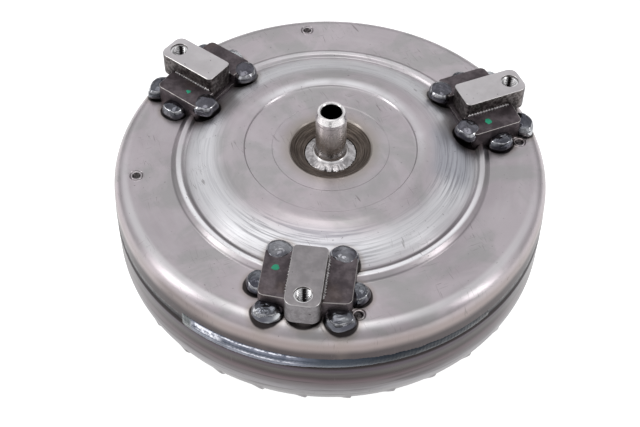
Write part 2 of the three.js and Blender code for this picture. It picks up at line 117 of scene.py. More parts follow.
class Graph:
    """Makes nodes in a tree. Arguments are numbers, colours or output sockets."""

    def __init__(self, tree, coordinates="Object"):
        self.tree = tree
        self.place = self.node("ShaderNodeTexCoord").outputs[coordinates]
        parts = self.node("ShaderNodeSeparateXYZ", Vector=self.place)
        self.x, self.y, self.z = parts.outputs
        self.r = self.calc("SQRT", self.plus(self.times(self.x, self.x), self.times(self.y, self.y)))
        self.angle = self.calc("ARCTAN2", self.y, self.x)
        self.height = self.calc("SUBTRACT", self.z, FACE)

    def put(self, socket, value):
        if isinstance(value, bpy.types.NodeSocket):
            self.tree.links.new(value, socket)
        elif isinstance(value, (tuple, list)) and socket.type == "RGBA":
            socket.default_value = (*value[:3], 1)
        else:
            socket.default_value = value

    def node(self, kind, settings=None, **inputs):
        made = self.tree.nodes.new(kind)
        for key, value in (settings or {}).items():
            setattr(made, key, value)
        for key, value in inputs.items():
            self.put(made.inputs[key.replace("_", " ")], value)
        return made

    def calc(self, operation, *values):
        made = self.node("ShaderNodeMath", {"operation": operation})
        for socket, value in zip(made.inputs, values):
            self.put(socket, value)
        return made.outputs[0]

    def times(self, a, b):
        return self.calc("MULTIPLY", a, b)

    def plus(self, a, b):
        return self.calc("ADD", a, b)

    def facing(self):
        """The surface's own direction, as X, Y and Z."""
        normal = self.node("ShaderNodeNewGeometry").outputs["Normal"]
        return self.node("ShaderNodeSeparateXYZ", Vector=normal).outputs

    def vector(self, x, y, z):
        return self.node("ShaderNodeCombineXYZ", X=x, Y=y, Z=z).outputs[0]

    def noise(self, scale, detail=3.0, roughness=0.5, where=None, distortion=0.0):
        made = self.node("ShaderNodeTexNoise", Vector=where or self.place, Scale=scale, Detail=detail,
                         Roughness=roughness, Distortion=distortion)
        return made.outputs["Fac"]

    def ramp(self, value, low, high, start=0.0, end=1.0):
        made = self.node("ShaderNodeMapRange", {"interpolation_type": "SMOOTHSTEP"}, Value=value,
                         From_Min=low, From_Max=high, To_Min=start, To_Max=end)
        return made.outputs[0]

    def cloud(self, *shape):
        """Noise of the given scale, detail and roughness, spread from 0 to 1."""
        return self.ramp(self.noise(*shape), 0.35, 0.7)

    def wander(self, scale, reach):
        """Noise about 0, to shift an edge by."""
        return self.times(self.calc("SUBTRACT", self.noise(scale, 3.0), 0.5), reach)

    def band(self, value, low, high, soft):
        """1 between low and high, fading out over soft on both sides."""
        rise = self.ramp(value, low - soft, low + soft)
        fall = self.ramp(value, high - soft, high + soft, 1.0, 0.0)
        return self.times(rise, fall)

    def mix(self, share, a, b):
        made = self.node("ShaderNodeMix", {"data_type": "RGBA"})
        self.put(made.inputs[0], share)
        self.put(made.inputs[6], a)
        self.put(made.inputs[7], b)
        return made.outputs[2]

    def tint(self, color, share, over, strength=1.0):
        """color with another laid over it, where share is 1, at the given strength."""
        if strength != 1.0:
            share = self.times(share, strength)
        return self.mix(share, color, over)

    def colours(self, value, stops):
        made = self.node("ShaderNodeValToRGB", Fac=value)
        elements = made.color_ramp.elements
        while len(elements) < len(stops):
            elements.new(0.5)
        for element, (position, color) in zip(elements, stops):
            element.position = position
            element.color = (*color, 1)
        return made.outputs[0]

    def bump(self, height, strength, distance, below=None):
        made = self.node("ShaderNodeBump", Strength=strength, Distance=distance, Height=height)
        if below:
            self.put(made.inputs["Normal"], below)
        return made.outputs[0]

    def finish(self, color, roughness, metallic=1.0, normal=None, anisotropy=0.0):
        shader = self.node("ShaderNodeBsdfPrincipled", Base_Color=color, Roughness=roughness,
                           Metallic=metallic)
        shader.inputs["Anisotropic"].default_value = anisotropy
        shader.inputs["Anisotropic Rotation"].default_value = ACROSS_GROOVES
        if normal:
            self.put(shader.inputs["Normal"], normal)
        if anisotropy:
            tangent = self.node("ShaderNodeTangent", {"direction_type": "RADIAL", "axis": "Z"})
            self.put(shader.inputs["Tangent"], tangent.outputs[0])
        output = self.node("ShaderNodeOutputMaterial")
        self.tree.links.new(shader.outputs[0], output.inputs[0])
        return shader


def emptied(owner):
    """The owner's node tree, with nothing in it."""
    owner.use_nodes = True
    owner.node_tree.nodes.clear()
    return owner.node_tree


def paint(name):
    """A new material and the graph of its tree."""
    material = bpy.data.materials.new(name)
    return material, Graph(emptied(material))


def scratches(g, count, length, width):
    """Thin marks in several directions, 0 to 1."""
    total = None
    for i in range(count):
        turned = g.node("ShaderNodeVectorRotate", {"rotation_type": "Z_AXIS"}, Vector=g.place,
                        Angle=0.9 + 1.7 * i)
        stretched = g.node("ShaderNodeVectorMath", {"operation": "MULTIPLY"})
        g.put(stretched.inputs[0], turned.outputs[0])
        stretched.inputs[1].default_value = (1 / length, 1 / width, 1 / length)
        mark = g.ramp(g.noise(1, 1, where=stretched.outputs[0]), 0.69, 0.76)
        total = mark if total is None else g.calc("MAXIMUM", total, mark)
    patch = g.ramp(g.noise(38, 2), 0.5, 0.62)
    return g.times(total, patch)


def rings(g, fineness, drift=1.6):
    """Fine lines round the axis, as a lathe or a brush leaves them."""
    where = g.vector(g.times(g.r, fineness), g.times(g.angle, drift), g.times(g.z, fineness))
    return g.noise(1, 4, 0.65, where)


def lug_distance(g):
    """Distance to the nearest weld nugget or bar end, 1 at its rim, by folding the plane on the lugs."""
    third = math.tau / 3
    folded = g.calc("PINGPONG", g.calc("SUBTRACT", g.angle, LUG_ANGLES[0]), third / 2)
    radial = g.times(g.times(g.r, g.calc("COSINE", folded)), 1000.0)
    aside = g.times(g.times(g.r, g.calc("SINE", folded)), 1000.0)
    nearest = None
    for (u, v, _), (half_u, half_v, _) in [*NUGGETS, BAR_END_SHADOW]:
        du = g.calc("DIVIDE", g.calc("SUBTRACT", radial, u), half_u)
        dv = g.calc("DIVIDE", g.calc("SUBTRACT", aside, v), half_v)
        away = g.calc("SQRT", g.plus(g.times(du, du), g.times(dv, dv)))
        nearest = away if nearest is None else g.calc("MINIMUM", nearest, away)
    return g.plus(nearest, g.wander(70, 0.36))


# Zones of the cover: radii from and to, and how softly they end, in metres.
ZONES = {
    "brushed": (0.064, 0.086, 0.004),
    "sheen_band": (0.069, 0.0868, 0.006),
    "shaded": (0.062, 0.0855, 0.005),
    "crest_highlight": (0.0522, 0.0568, 0.003),
    "groove": (0.0874, 0.089, 0.0007),
    "ridge": (0.0903, 0.0929, 0.0007),
    "ridge_foot": (0.0953, 0.0961, 0.0005),
    "shoulder_highlight": (0.1222, 0.1264, 0.0014),
}
# Parts of a turn round the axis: degrees from and to, and how softly they end, in radians.
SECTORS = {
    "shaded": (-12, 22, 0.12),
    "worn": (-106, -70, 0.16),
    "front_arcs": (-125, -66, 0.18),
    "right_arcs": (-20, 14, 0.14),
    "smudge": (-131, -115, 0.06),
    "far": (2, 146, 0.3),
    "near": (-165, -15, 0.35),
    "double_weld": (-128, -10, 0.25),
    "nick_left": (-98, -94, 0.03),
    "nick_right": (-81, -76, 0.03),
    "upper_crest": (-119, -92, 0.03),
    "lower_crest": (-108, -92, 0.03),
    "bright_start": (-119, -111, 0.03),
    "studio_bright": (-135, -104, 0.12),
    "studio_dark": (-98, -68, 0.1),
}


def zone(g, name):
    return g.band(g.r, *ZONES[name])


def sector(g, name):
    low, high, soft = SECTORS[name]
    return g.band(g.angle, math.radians(low), math.radians(high), soft)


def turn_ramp(g, low, high):
    """0 to 1 between two angles round the axis, in degrees."""
    return g.ramp(g.angle, math.radians(low), math.radians(high))


def sheet_ground(g, cloud):
    """Rolled sheet: cloudy, smeared round the axis, with duller and warmer patches."""
    smear = rings(g, 90.0, 2.2)
    patches = g.ramp(g.noise(24, 5, 0.6, distortion=0.8), 0.44, 0.6)
    blush = g.ramp(g.noise(17, 5, 0.6, distortion=1), 0.5, 0.64)
    color = g.mix(g.ramp(cloud, 0.35, 0.68), (0.445, 0.4, 0.42), (0.53, 0.483, 0.503))
    color = g.tint(color, g.ramp(smear, 0.4, 0.7), (0.6, 0.575, 0.585), 0.3)
    color = g.tint(color, patches, (0.375, 0.375, 0.365), 0.6)
    return g.tint(color, blush, (0.555, 0.5, 0.525), 0.6)


def brushed_dome(g, color, cloud):
    """A painted sheen towards the dome's foot, painted shade on its right, and brushed arcs, most at the
    front and on the right.
    """
    # Painted sheen: the band near the dome's foot is painted lighter, as where it catches the light.
    dome_sheen = g.times(zone(g, "sheen_band"), g.ramp(cloud, 0.3, 0.6, 0.75, 1))
    color = g.tint(color, dome_sheen, (0.76, 0.755, 0.77))
    color = g.tint(color, g.times(zone(g, "shaded"), sector(g, "shaded")), (0.37, 0.375, 0.41), 0.85)
    brushed = zone(g, "brushed")
    color = g.tint(color, g.times(brushed, sector(g, "worn")), (0.33, 0.33, 0.36), 0.5)
    worked = g.plus(sector(g, "front_arcs"), sector(g, "right_arcs"))
    worked = g.plus(g.times(worked, 0.45), 0.2)
    arcs = g.times(g.times(brushed, worked), g.ramp(rings(g, 900, 1.7), 0.46, 0.6))
    return g.tint(color, arcs, (0.2, 0.195, 0.215))


def heated_skirt(g, color):
    """Straw and brown down to the circumferential weld, with a brown smudge above the weld's start."""
    low = g.plus(g.height, g.wander(25, 0.004))
    straw = g.times(g.ramp(low, -0.002, -0.01), 0.9)
    color = g.tint(color, g.times(straw, front_heat(g)), (0.27, 0.225, 0.215))
    color = g.tint(color, g.ramp(low, -0.011, -0.0172, 0, 0.95), (0.068, 0.058, 0.06))
    smudge = g.times(sector(g, "smudge"), g.band(low, -0.0165, -0.0062, 0.0022))
    return g.tint(color, smudge, (0.11, 0.09, 0.085), 0.45)


def ridge_light_and_haze(g, color, cloud):
    """Painted highlights on the crest, the shoulder and the raised ridge, painted shade in the groove and at
    the ridge's foot, and a warm haze round the pilot's weld.
    """
    # Painted highlight along the crest, on the far side, broken by noise.
    crest_highlight = g.times(zone(g, "crest_highlight"), sector(g, "far"))
    crest_highlight = g.times(crest_highlight, g.ramp(g.noise(28, 3), 0.38, 0.62, 0.35, 0.85))
    color = g.tint(color, crest_highlight, (0.9, 0.89, 0.905))
    near = sector(g, "near")
    # Painted highlight on the shoulder, on the near side.
    color = g.tint(color, g.times(zone(g, "shoulder_highlight"), near), (0.8, 0.785, 0.79), 0.55)
    haze = g.ramp(g.plus(g.r, g.times(cloud, 0.006)), 0.0255, 0.037, 0.8, 0.0)
    color = g.tint(color, haze, (0.35, 0.31, 0.265))
    color = g.tint(color, g.ramp(g.r, 0.0248, 0.0237), (0.11, 0.088, 0.072))
    # Painted shade in the groove, a painted highlight on the ridge and painted shade at its foot, all
    # strongest on the near side.
    groove = g.times(zone(g, "groove"), g.plus(0.15, g.times(near, 0.6)))
    color = g.tint(color, groove, (0.09, 0.08, 0.085))
    ridge = g.times(zone(g, "ridge"), g.plus(0.3, g.times(near, 0.65)))
    color = g.tint(color, ridge, (0.93, 0.92, 0.93))
    return g.tint(color, g.times(zone(g, "ridge_foot"), g.times(near, 0.55)), (0.1, 0.09, 0.095))


def cover_steel():
    material, g = paint("cover_steel")
    cloud = g.noise(16, 4, 0.55)
    color = brushed_dome(g, sheet_ground(g, cloud), cloud)
    color = ridge_light_and_haze(g, heated_skirt(g, color), cloud)
    # A burnt rim round each nugget, then a painted contact shadow at its foot and a painted shadow under
    # each bar's outer end, then scratches and specks over everything.
    away = lug_distance(g)
    color = g.tint(color, g.ramp(away, 1.15, 1.6, 1, 0), (0.3, 0.25, 0.21), 0.45)
    # Painted shadow: near black at the nuggets' feet and under the bar ends.
    color = g.tint(color, g.ramp(away, 1.07, 1.2, 0.95, 0), (0.022, 0.018, 0.018))
    marks = g.calc("MAXIMUM", scratches(g, 3, 0.012, 0.0005), scratches(g, 1, 0.014, 0.0022))
    color = g.tint(color, marks, (0.14, 0.12, 0.12), 0.5)
    specks = g.ramp(g.noise(520, 2), 0.7, 0.77)
    color = g.tint(color, specks, (0.12, 0.1, 0.1), 0.45)
    roughness = g.plus(g.ramp(cloud, 0.3, 0.7, 0.3, 0.38), g.times(specks, 0.2))
    normal = g.bump(rings(g, 2600.0), g.plus(0.12, g.times(zone(g, "brushed"), 0.2)), FINE)
    normal = g.bump(g.noise(60, 3), 0.06, 0.001, normal)
    g.finish(color, roughness, 1.0, normal, anisotropy=0.5)
    return material


def front_heat(g):
    """1 where the weld was laid double, at the front, and less round the back."""
    return g.plus(0.75, g.times(sector(g, "double_weld"), 0.25))


def collar_wear(g, tone):
    """The pilot's collar: duller than its tube, stained, with two dark nicks in its rim."""
    stained = g.mix(g.ramp(g.noise(260, 4, 0.6), 0.42, 0.62), (0.5, 0.48, 0.48), (0.3, 0.285, 0.285))
    tone = g.mix(g.ramp(g.r, 0.0098, 0.0112), tone, stained)
    nicks = g.calc("MAXIMUM", sector(g, "nick_left"), sector(g, "nick_right"))
    return g.mix(g.times(nicks, g.ramp(g.r, 0.013, 0.0142)), tone, (0.03, 0.026, 0.026))


def turned_steel(name, color, roughness, bore=0.0, collar=False):
    """Bright turned steel. Inside the radius bore, in metres, it is painted black as shade down the hole."""
    material, g = paint(name)
    fine = rings(g, 3200.0)
    stain = g.ramp(g.noise(140, 4), 0.45, 0.75)
    dim = tuple(c * 0.62 for c in color)
    tone = g.mix(g.times(stain, 0.2), color, dim)
    # Painted shade: black inside the bore.
    tone = g.mix(g.ramp(g.r, bore, bore + 0.0002), (0.02, 0.018, 0.018), tone)
    if collar:
        tone = collar_wear(g, tone)
    rough = g.ramp(g.noise(90, 3), 0.3, 0.7, roughness, roughness + 0.12)
    g.finish(tone, rough, 1.0, g.bump(fine, 0.2, FINE), anisotropy=0.3)
    return material


def lug_steel():
    """Bright ground tops, dull on the front lug, and dark mottled sides."""
    material, g = paint("lug_steel")
    cloud = g.noise(60, 4, 0.6)
    top = g.mix(g.ramp(cloud, 0.35, 0.7), (0.5, 0.475, 0.48), (0.58, 0.555, 0.56))
    dull = g.mix(g.cloud(150, 4, 0.6), (0.25, 0.235, 0.24), (0.32, 0.3, 0.305))
    lug_front = g.ramp(g.y, -0.06, -0.08)
    top = g.mix(lug_front, top, dull)
    mottle = g.ramp(g.noise(420, 3, 0.7), 0.4, 0.65)
    side = g.mix(mottle, (0.055, 0.046, 0.044), (0.2, 0.18, 0.175))
    end = g.mix(mottle, (0.17, 0.16, 0.165), (0.235, 0.222, 0.23))
    side = g.mix(g.ramp(g.r, 0.1235, 0.1265), side, end)
    upward = g.facing()["Z"]
    color = g.mix(g.ramp(upward, 0.55, 0.8), side, top)
    specks = g.ramp(g.noise(330, 2), 0.72, 0.77)
    color = g.tint(color, specks, (0.06, 0.05, 0.05), 0.8)
    # Painted highlight on the edges just under the top face.
    edge = g.times(g.band(upward, 0.35, 0.9, 0.1), g.ramp(g.noise(200, 2), 0.3, 0.5, 0.35, 0.85))
    color = g.tint(color, edge, (0.66, 0.64, 0.63))
    roughness = g.plus(g.ramp(upward, 0.4, 0.8, 0.46, 0.34), g.times(lug_front, 0.08))
    normal = g.bump(g.noise(900, 3, 0.7), 0.25, FINE)
    g.finish(color, roughness, 1.0, normal)
    return material


def thread_steel():
    """Bright flanks, with a painted dark reflection down the hole's far wall."""
    material, g = paint("thread_steel")
    facing = g.facing()
    # Painted dark reflection on the wall that faces away from the camera.
    far_wall_reflection = g.times(g.band(facing["X"], -0.17, 0.22, 0.09), g.ramp(facing["Y"], -0.2, -0.4))
    bright = g.mix(g.noise(300, 3), (0.66, 0.65, 0.65), (0.85, 0.84, 0.84))
    color = g.mix(far_wall_reflection, bright, (0.02, 0.017, 0.017))
    g.finish(color, g.ramp(g.noise(200), 0.3, 0.7, 0.22, 0.34), 1.0, g.bump(g.noise(900), 0.2, FINE))
    return material


def scaled_steel():
    """Dark mill scale with a little rust, worn bright at the edges."""
    material, g = paint("scaled_steel")
    color = g.mix(g.cloud(120, 5, 0.65), (0.068, 0.056, 0.061), (0.15, 0.126, 0.135))
    rust = g.ramp(g.noise(45, 4), 0.55, 0.7)
    color = g.tint(color, rust, (0.12, 0.088, 0.07), 0.35)
    edge = g.band(g.facing()["Z"], 0.3, 0.92, 0.07)
    color = g.tint(color, edge, (0.55, 0.52, 0.5), 0.75)
    normal = g.bump(g.noise(700, 4, 0.7), 0.3, 0.0003)
    g.finish(color, g.ramp(g.noise(200, 3), 0.3, 0.7, 0.38, 0.55), 0.9, normal)
    return material


def nugget_steel():
    """Dark weld metal with painted glints and a painted highlight round the rim, darker on the nuggets
    nearest the axis.
    """
    material, g = paint("nugget_steel")
    color = g.mix(g.cloud(75, 2), (0.07, 0.071, 0.087), (0.175, 0.182, 0.198))
    # Painted glints: bright spots laid over the weld metal.
    painted_glints = g.ramp(g.noise(50, 2), 0.54, 0.66)
    color = g.tint(color, painted_glints, (0.6, 0.615, 0.63), 0.75)
    soot = g.ramp(g.noise(180, 4), 0.62, 0.72)
    color = g.tint(color, soot, (0.04, 0.035, 0.035), 0.5)
    inner = g.times(g.ramp(g.r, 0.093, 0.0905), 0.6)
    color = g.tint(color, inner, (0.115, 0.11, 0.128))
    # Painted highlight round the rim, where it faces partly up.
    broken = g.ramp(g.noise(160, 2), 0.4, 0.55, 0.25, 0.8)
    rim = g.times(g.band(g.facing()["Z"], 0.5, 0.74, 0.08), broken)
    color = g.tint(color, rim, (0.7, 0.7, 0.72))
    normal = g.bump(g.noise(190, 3, 0.6), 0.5, 0.0007)
    g.finish(color, g.ramp(g.noise(120, 2), 0.35, 0.7, 0.1, 0.26), 1.0, normal)
    return material


def bead_steel():
    """Blue-grey where the weld overlaps, with painted highlights on its crests, greenish at its start, and
    nearly black elsewhere from soot and painted shade in the groove.
    """
    material, g = paint("bead_steel")
    color = g.mix(g.cloud(150, 3), (0.1, 0.11, 0.145), (0.18, 0.19, 0.235))
    color = g.tint(color, g.band(g.height, -0.0246, -0.0232, 0.0007), (0.035, 0.045, 0.06), 0.7)
    # Painted highlights on the crests of the two passes, broken by the ripple, and on the weld's start.
    broken = g.ramp(g.noise(330, 3, 0.6), 0.36, 0.6)
    upper = g.times(g.band(g.height, -0.0212, -0.0202, 0.0005), sector(g, "upper_crest"))
    lower = g.times(g.band(g.height, -0.0266, -0.0257, 0.0005), sector(g, "lower_crest"))
    patch = g.times(g.band(g.height, -0.025, -0.0206, 0.0007), sector(g, "bright_start"))
    crest_highlights = g.times(g.calc("MAXIMUM", upper, g.calc("MAXIMUM", lower, patch)), broken)
    color = g.tint(color, crest_highlights, (0.8, 0.81, 0.88))
    # From the thick pass's end round the back, and left of the start, the bead goes slate and then nearly
    # black: soot, and painted shade where it lies down in the groove.
    late = turn_ramp(g, -92, -84)
    slate = g.mix(g.ramp(g.height, -0.028, -0.0255), (0.09, 0.1, 0.12), (0.038, 0.047, 0.062))
    color = g.mix(late, color, slate)
    color = g.tint(color, turn_ramp(g, -118.5, -120.0), (0.115, 0.125, 0.128))
    color = g.tint(color, turn_ramp(g, -82, -66), (0.01, 0.014, 0.02), 0.95)
    groove = g.calc("MAXIMUM", turn_ramp(g, -122.3, -122.8), turn_ramp(g, -48, -36))
    color = g.tint(color, groove, (0.02, 0.018, 0.02))
    normal = g.bump(g.noise(500, 2), 0.15, 0.0004)
    g.finish(color, g.ramp(g.noise(260, 2), 0.3, 0.7, 0.2, 0.34), 1.0, normal)
    return material


def shell_steel():
    """Bare steel, banded blue, brown and straw below the circumferential weld."""
    material, g = paint("shell_steel")
    cloud = g.noise(18, 4)
    depth = g.calc("DIVIDE", g.plus(g.plus(g.height, g.wander(12, 0.007)), 0.058), 0.03)
    bare = g.mix(g.ramp(cloud, 0.4, 0.7), (0.22, 0.21, 0.215), (0.27, 0.255, 0.26))
    tint = g.colours(depth, [
        (0.0, (0.235, 0.225, 0.23)), (0.18, (0.24, 0.23, 0.24)), (0.34, (0.145, 0.132, 0.135)),
        (0.5, (0.115, 0.086, 0.094)), (0.62, (0.052, 0.041, 0.041)), (0.75, (0.092, 0.086, 0.082)),
        (0.88, (0.075, 0.058, 0.076)), (0.97, (0.05, 0.042, 0.045)),
    ])
    color = g.mix(front_heat(g), bare, tint)
    streaks = g.noise(1.0, 4.0, 0.6, g.vector(g.times(g.angle, 2.5), 0.0, g.times(g.z, 420.0)))
    color = g.tint(color, g.ramp(streaks, 0.48, 0.66, 0, 0.6), (0.055, 0.046, 0.048))
    # Painted shade on the shell just under the bead's lower edge.
    rim = g.ramp(g.height, -0.0325, -0.029)
    color = g.tint(color, rim, (0.035, 0.03, 0.03))
    marks = scratches(g, 2, 0.01, 0.0005)
    color = g.tint(color, marks, (0.12, 0.1, 0.1), 0.4)
    normal = g.bump(rings(g, 1500.0), 0.12, FINE)
    normal = g.bump(g.noise(45, 3), 0.08, 0.001, normal)
    g.finish(color, g.ramp(cloud, 0.3, 0.7, 0.27, 0.36), 1.0, normal, anisotropy=0.3)
    return material


def coined_steel(cover):
    """The cover's steel, blackened in the pit."""
    material = cover.copy()
    material.name = "coined_steel"
    g = Graph(material.node_tree)
    shader = next(node for node in g.tree.nodes if node.type == "BSDF_PRINCIPLED")
    clean = shader.inputs["Base Color"].links[0].from_socket
    depth = g.ramp(g.height, -0.0001, -0.0006)
    g.put(shader.inputs["Base Color"], g.mix(g.times(depth, 0.85), clean, (0.035, 0.03, 0.03)))
    return material


def burnt_ring():
    material, g = paint("burnt_ring")
    color = g.mix(g.ramp(rings(g, 900), 0.35, 0.7), (0.055, 0.043, 0.036), (0.16, 0.132, 0.112))
    g.finish(color, 0.42, 0.95, g.bump(rings(g, 1400.0), 0.5, 0.0004), anisotropy=0.4)
    return material


def green_paint():
    material, g = paint("green_paint")
    color = g.mix(g.noise(400, 3), (0.0, 0.2, 0.1), (0.01, 0.36, 0.2))
    g.finish(color, g.ramp(g.noise(300), 0.3, 0.7, 0.35, 0.6), 0.0, g.bump(g.noise(900), 0.3, FINE))
    return material


def plain(name, color, roughness, metallic=1.0, grain=600.0):
    """A quiet finish for the pieces inside: colour drift, fine grain and uneven gloss."""
    material, g = paint(name)
    dim = tuple(c * 0.86 for c in color)
    tone = g.mix(g.cloud(60, 4), dim, color)
    rough = g.ramp(g.noise(110, 3), 0.3, 0.7, roughness, min(1, roughness + 0.12))
    g.finish(tone, rough, metallic, g.bump(g.noise(grain, 3, 0.6), 0.2, FINE))
    return material


# ---- Light
def add_studio():
    """Even light from above, brighter overhead and to the left, with a darker middle in front."""
    world = bpy.data.worlds.new("studio")
    bpy.context.scene.world = world
    bpy.context.scene.view_settings.view_transform = "Standard"
    g = Graph(emptied(world), "Generated")
    level = g.calc("SUBTRACT", 0.74, g.times(g.x, 0.06))
    level = g.plus(level, g.ramp(g.z, 0.93, 0.99, 0, 0.5))
    behind = g.times(g.ramp(g.y, 0.3, 0.6), g.band(g.z, 0.47, 0.67, 0.06))
    level = g.plus(level, g.times(behind, 0.42))
    ahead = g.ramp(g.y, -0.15, -0.55)
    bright = g.times(sector(g, "studio_bright"), 0.12)
    dark = g.times(sector(g, "studio_dark"), -0.3)
    level = g.plus(level, g.times(ahead, g.plus(bright, dark)))
    level = g.times(level, g.ramp(g.z, 0, 0.45, 0.4, 1))
    shader = g.node("ShaderNodeBackground", Color=(0.97, 0.975, 1.0), Strength=level)
    output = g.node("ShaderNodeOutputWorld")
    g.tree.links.new(shader.outputs[0], output.inputs[0])
    add_area("softbox_top", (-0.15, 0.05, 1.5), (0.9, 0.6), 2.0, (1, 0.985, 0.97))
    add_area("softbox_left", (-1.3, -0.5, 0.9), (0.35, 1.0), 4.5)
    add_area("softbox_right", (1.35, -0.25, 0.8), (0.3, 0.9), 3)


# ---- Mesh making
def rounded(corners):
    """A closed outline from (r, z) or (r, z, fillet radius) corners, with real arcs at the fillets.

    A point just before and after each fillet keeps the shading of the flats beside it flat."""
    points = []
    for i, corner in enumerate(corners):
        here = Vector(corner[:2])
        radius = corner[2] if len(corner) > 2 else 0
        back = Vector(corners[i - 1][:2]) - here
        ahead = Vector(corners[(i + 1) % len(corners)][:2]) - here
        if not radius:
            points.append(here)
            continue
        half = back.angle(ahead) / 2
        reach = min(radius / math.tan(half), 0.46 * back.length, 0.46 * ahead.length)
        radius = reach * math.tan(half)
        middle = here + (back.normalized() + ahead.normalized()).normalized() * radius / math.sin(half)
        start = here + back.normalized() * reach - middle
        end = here + ahead.normalized() * reach - middle
        sweep = start.angle_signed(end)
        steps = max(2, math.ceil(abs(sweep) / math.radians(9)))
        guard = min(0.2, 0.1 * reach)
        points.append(middle + start + back.normalized() * guard)
        points += [middle + Matrix.Rotation(-sweep * k / steps, 2) @ start for k in range(steps + 1)]
        points.append(middle + end + ahead.normalized() * guard)
    return points


def piece(name, mesh, material, body="housing", crease=32, replaced=()):
    made = bpy.data.objects.new(name, mesh)
    link(made)
    mesh.materials.clear()
    mesh.materials.append(material)
    soften(mesh, crease)
    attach(made, body)
    if replaced:
        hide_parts(*replaced)
    return made


def soften(mesh, crease):
    """Smooth shading, with edges sharper than crease degrees kept hard."""
    b = bmesh.new()
    b.from_mesh(mesh)
    for face in b.faces:
        face.smooth = True
    for edge in b.edges:
        edge.smooth = len(edge.link_faces) == 2 and edge.calc_face_angle(0) < math.radians(crease)
    b.to_mesh(mesh)
    b.free()


def mesh_of(b, name):
    """The bmesh b as a new mesh."""
    mesh = bpy.data.meshes.new(name)
    b.to_mesh(mesh)
    b.free()
    return mesh


def mesh_from(name, vertices, faces):
    mesh = bpy.data.meshes.new(name)
    mesh.from_pydata(vertices, [], faces)
    b = bmesh.new()
    b.from_mesh(mesh)
    bmesh.ops.remove_doubles(b, verts=b.verts, dist=1e-7)
    bmesh.ops.recalc_face_normals(b, faces=b.faces)
    b.to_mesh(mesh)
    b.free()
    return mesh


def split_long(points, longest):
    """The same closed outline, with no stretch longer than longest."""
    result = []
    for a, b in zip(points, points[1:] + points[:1]):
        count = max(1, math.ceil((b - a).length / longest))
        result += [a.lerp(b, k / count) for k in range(count)]
    return result


def point(r, angle, z, x=0.0):
    """A place in metres, at a radius and an angle round the upright line through (x, 0)."""
    return ((x + r * math.cos(angle)) * MM, r * math.sin(angle) * MM, FACE + z * MM)


def revolved(name, loops):
    """A closed skin through loops of (r, z), one for each step round the axis."""
    steps, rows = len(loops), len(loops[0])
    vertices, faces = [], []
    for i, loop in enumerate(loops):
        vertices += [point(r, math.tau * i / steps, z) for r, z in loop]
        after = (i + 1) % steps
        for j in range(rows):
            k = (j + 1) % rows
            faces.append((i * rows + j, after * rows + j, after * rows + k, i * rows + k))
    return mesh_from(name, vertices, faces)


def turned_mesh(name, outline, segments=192, shape=None, longest=6.0):
    """An outline turned about Z. shape(r, z, angle) may move a point to another (r, z)."""
    outline = split_long([Vector(p[:2]) for p in outline], longest)
    loops = []
    for i in range(segments):
        angle = math.tau * i / segments
        loops.append([shape(r, z, angle) if shape else (r, z) for r, z in outline])
    return revolved(name, loops)


def tube_sides(first, steps, around):
    """Faces between the rings of a tube whose vertices start at number first."""
    faces = []
    for j in range(steps):
        for i in range(around):
            k = (i + 1) % around
            a, b = first + j * around, first + (j + 1) * around
            faces.append((a + i, a + k, b + k, b + i))
    return faces


def tube_ends(first, steps, around):
    last = first + steps * around
    return [tuple(first + i for i in range(around)), tuple(last + i for i in reversed(range(around)))]


def oblong(x0, x1, half):
    return [(x0, -half), (x1, -half), (x1, half), (x0, half)]


def carve(mesh, cutters):
    """mesh with every cutter mesh taken out of it."""
    host = bpy.data.objects.new("carving", mesh)
    link(host)
    tools = []
    for cutter in cutters:
        tool = bpy.data.objects.new("cutter", cutter)
        link(tool)
        tools.append(tool)
        modifier = host.modifiers.new("cut", "BOOLEAN")
        modifier.operation, modifier.solver, modifier.object = "DIFFERENCE", "EXACT", tool
    bpy.context.view_layer.update()
    result = bpy.data.meshes.new_from_object(host.evaluated_get(bpy.context.evaluated_depsgraph_get()))
    for tool in [host, *tools]:
        bpy.data.objects.remove(tool)
    return result


def rod(r, low, high, x=0.0, y=0.0, top=None):
    """A round bar along Z, with another radius at its top where top is given."""
    b = bmesh.new()
    bmesh.ops.create_cone(b, cap_ends=True, segments=48, radius1=r * MM, radius2=(top or r) * MM,
                          depth=(high - low) * MM)
    bmesh.ops.translate(b, verts=b.verts, vec=(x * MM, y * MM, FACE + (low + high) / 2 * MM))
    return mesh_of(b, "rod")


def block(name, outline, low, high, bevel, spread=0.0, steps=3):
    """An outline in (x, y), extruded and bevelled. spread widens the foot by that much, in millimetres."""
    centre = sum((Vector(p) for p in outline), Vector((0, 0))) / len(outline)
    b = bmesh.new()
    loops = []
    for z, grow in ((low, spread), (high, 0.0)):
        loop = []
        for p in outline:
            q = Vector(p) + (Vector(p) - centre).normalized() * grow
            loop.append(b.verts.new((q.x * MM, q.y * MM, FACE + z * MM)))
        loops.append(loop)
    count = len(outline)
    for i in range(count):
        j = (i + 1) % count
        b.faces.new((loops[0][i], loops[0][j], loops[1][j], loops[1][i]))
    b.faces.new(loops[1])
    b.faces.new(list(reversed(loops[0])))
    bmesh.ops.recalc_face_normals(b, faces=b.faces)
    rims = [e for e in b.edges if abs(e.verts[0].co.z - e.verts[1].co.z) < 1e-7]
    bmesh.ops.bevel(b, geom=rims, offset=bevel * MM, segments=steps, profile=0.6, affect="EDGES")
    return mesh_of(b, name)


def join(meshes, name):
    b = bmesh.new()
    for mesh in meshes:
        b.from_mesh(mesh)
    return mesh_of(b, name)


